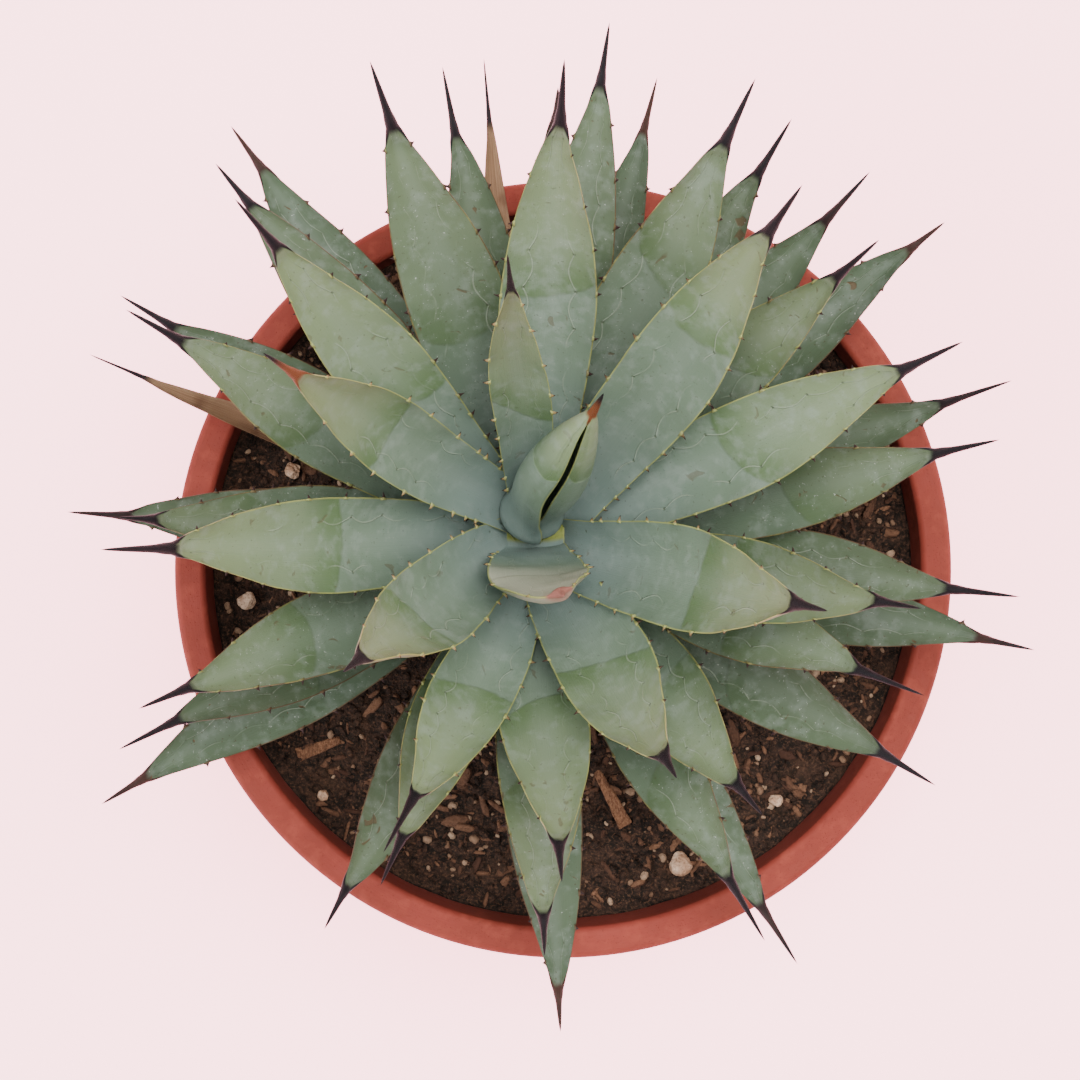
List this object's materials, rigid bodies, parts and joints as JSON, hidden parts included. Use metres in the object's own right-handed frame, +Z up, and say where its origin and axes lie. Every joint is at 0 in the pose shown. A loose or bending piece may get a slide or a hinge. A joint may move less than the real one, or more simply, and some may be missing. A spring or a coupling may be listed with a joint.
{
  "type": "potted agave",
  "caption": "Dense rosette of sage-green, dark-spined agave leaves growing in a shallow round clay bowl filled with bark potting mix.",
  "frame": {"origin": "centre of the bowl's underside", "axes": "+Z up, out of the bowl's mouth; X and Y level, +Y towards the side the rosette leans to"},
  "size_m": [0.3479, 0.3576, 0.3268],
  "materials": {
    "clay": "matte",
    "potting_mix": "matte",
    "stem": "matte",
    "leaf": "satin",
    "dry_leaf": "matte",
    "pumice": "matte",
    "bark": "matte"
  },
  "bodies": {
    "root": {"bowl": "clay", "soil": "potting_mix", "stem": "stem", "leaf_01": "leaf", "leaf_02": "leaf", "leaf_03": "leaf", "leaf_04": "leaf", "leaf_05": "leaf", "leaf_06": "leaf", "leaf_07": "leaf", "leaf_08": "leaf", "leaf_09": "leaf", "leaf_10": "leaf", "leaf_11": "leaf", "leaf_12": "leaf", "leaf_13": "leaf", "leaf_14": "leaf", "leaf_15": "leaf", "leaf_16": "leaf", "leaf_17": "leaf", "leaf_18": "leaf", "leaf_19": "leaf", "leaf_20": "leaf", "leaf_21": "leaf", "leaf_22": "leaf", "leaf_23": "leaf", "leaf_24": "leaf", "leaf_25": "leaf", "leaf_26": "leaf", "leaf_27": "leaf", "leaf_28": "leaf", "leaf_29": "leaf", "leaf_30": "leaf", "leaf_31": "leaf", "leaf_32": "leaf", "leaf_33": "leaf", "leaf_34": "leaf", "leaf_35": "leaf", "leaf_36": "leaf", "leaf_37": "leaf", "leaf_38": "leaf", "leaf_39": "leaf", "leaf_40": "leaf", "leaf_41": "leaf", "leaf_42": "leaf", "leaf_43": "leaf", "leaf_44": "leaf", "leaf_45": "leaf", "leaf_46": "leaf", "leaf_47": "leaf", "dry_leaf_1": "dry_leaf", "dry_leaf_2": "dry_leaf", "pebble_1": "pumice", "pebble_2": "pumice", "pebble_3": "pumice", "pebble_4": "pumice", "pebble_5": "pumice", "bark_chip_1": "bark", "bark_chip_2": "bark"}
  },
  "joints": []
}
